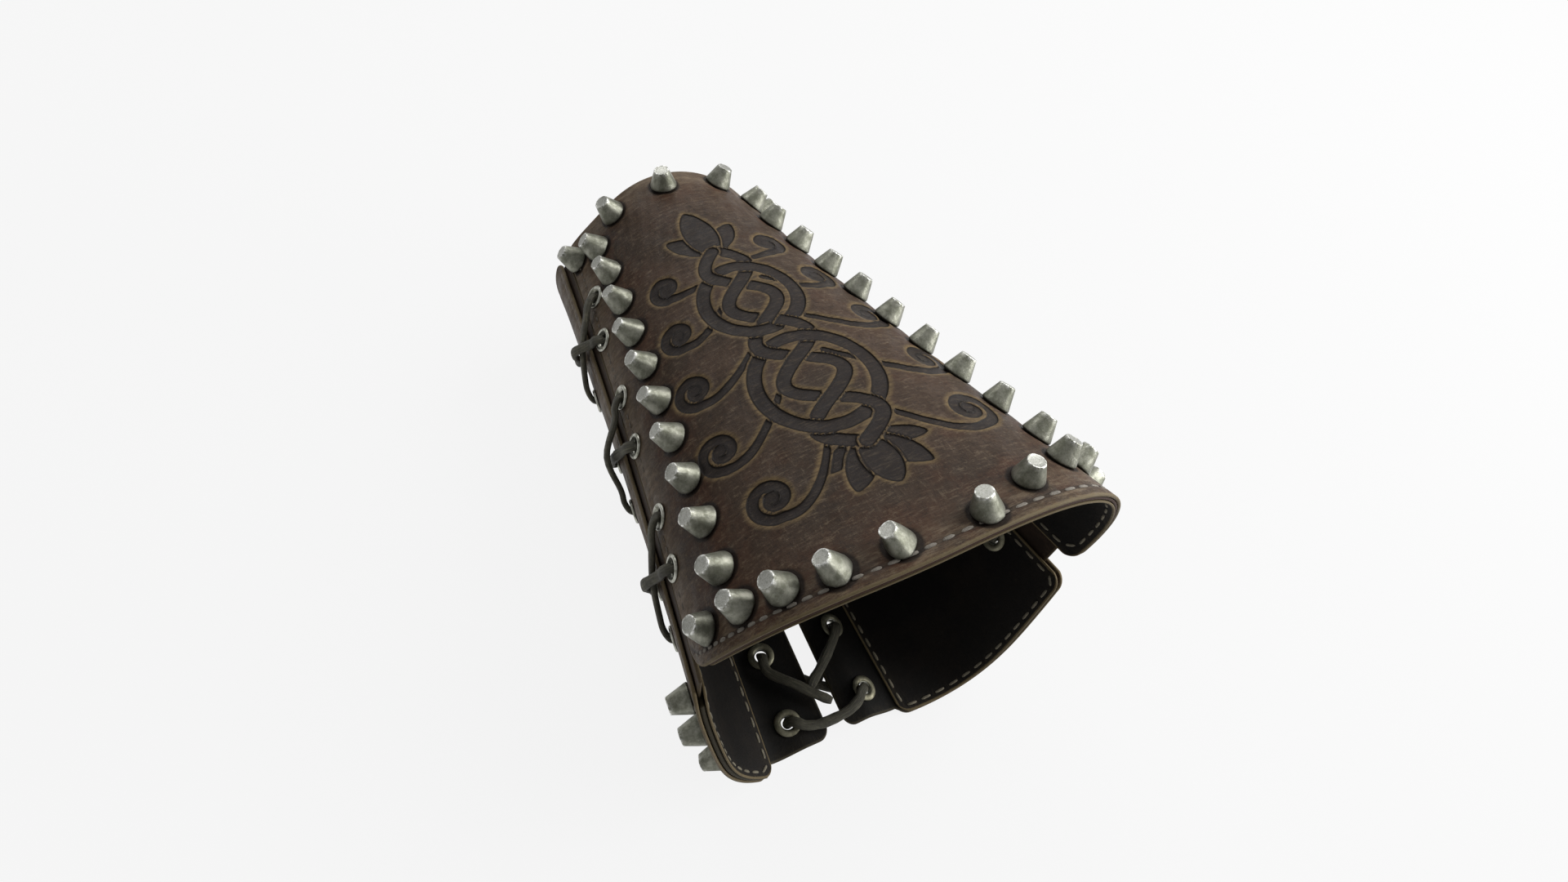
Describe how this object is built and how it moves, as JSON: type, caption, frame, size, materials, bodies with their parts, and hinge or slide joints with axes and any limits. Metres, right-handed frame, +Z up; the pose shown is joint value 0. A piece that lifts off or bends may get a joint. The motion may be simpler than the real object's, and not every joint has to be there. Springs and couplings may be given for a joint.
{
  "type": "bracer",
  "caption": "Tapered forearm bracer of three leather panels with truncated-cone studs, metal eyelets and crossed leather lacing down each side and the back.",
  "frame": {"origin": "centre of the bounding box's bottom face, on the surface the bracer lies on, back lacing down", "axes": "+Y along the arm from the wide elbow end to the narrow wrist end, +Z up out of the front panel, +X to the right seen from the wide end"},
  "size_m": [0.1554, 0.2194, 0.139],
  "materials": {
    "outer_leather": "worn satin, dark grey-brown with redder patches",
    "inner_leather": "raw cut edge, red-brown",
    "lining_leather": "matt, nearly black",
    "lace_leather": "matt, olive-grey, fibrous",
    "stud_metal": "cast, greenish grey, bright worn top rim",
    "eyelet_metal": "worn bright rims"
  },
  "bodies": {
    "back_left": {"back_left_cover": "outer_leather", "back_left_flap": "inner_leather", "back_left_lining": "lining_leather", "back_left_studs": "stud_metal", "back_left_stud_burrs": "eyelet_metal", "back_left_side_eyelets": "eyelet_metal", "back_left_rear_eyelets": "eyelet_metal", "back_left_eyelet_washers": "eyelet_metal", "left_lace_1": "lace_leather", "left_lace_2": "lace_leather", "left_lace_3": "lace_leather", "rear_lace_1": "lace_leather", "rear_lace_2": "lace_leather", "rear_lace_3": "lace_leather"},
    "front": {"front_cover": "outer_leather", "front_core": "inner_leather", "front_lining": "lining_leather", "front_left_tongue": "outer_leather", "front_right_tongue": "outer_leather", "front_wide_row_studs": "stud_metal", "front_narrow_row_studs": "stud_metal", "front_left_column_studs": "stud_metal", "front_right_column_studs": "stud_metal", "front_stud_burrs": "eyelet_metal", "front_left_eyelets": "eyelet_metal", "front_right_eyelets": "eyelet_metal", "front_eyelet_washers": "eyelet_metal", "right_lace_1": "lace_leather", "right_lace_2": "lace_leather", "right_lace_3": "lace_leather"},
    "back_right": {"back_right_cover": "outer_leather", "back_right_flap": "inner_leather", "back_right_lining": "lining_leather", "back_right_studs": "stud_metal", "back_right_stud_burrs": "eyelet_metal", "back_right_side_eyelets": "eyelet_metal", "back_right_rear_eyelets": "eyelet_metal", "back_right_eyelet_washers": "eyelet_metal"}
  },
  "joints": [
    {"name": "left_lacing", "type": "hinge", "parent": "back_left", "child": "front", "pos_m": [-0.05619, 0.00245, 0.0635], "axis": [-0.145, -0.9762, 0.161], "range_deg": [0, 60], "deforming": ["left_lace_1", "left_lace_2", "left_lace_3", "right_lace_1", "right_lace_2", "right_lace_3", "front_left_tongue"]},
    {"name": "rear_lacing", "type": "hinge", "parent": "back_left", "child": "back_right", "pos_m": [-0.01291, -0.00475, 0.00517], "axis": [0.028, 0.9996, -0.008], "range_deg": [0, 10], "deforming": ["rear_lace_1", "rear_lace_2", "rear_lace_3", "front_right_tongue"]}
  ]
}
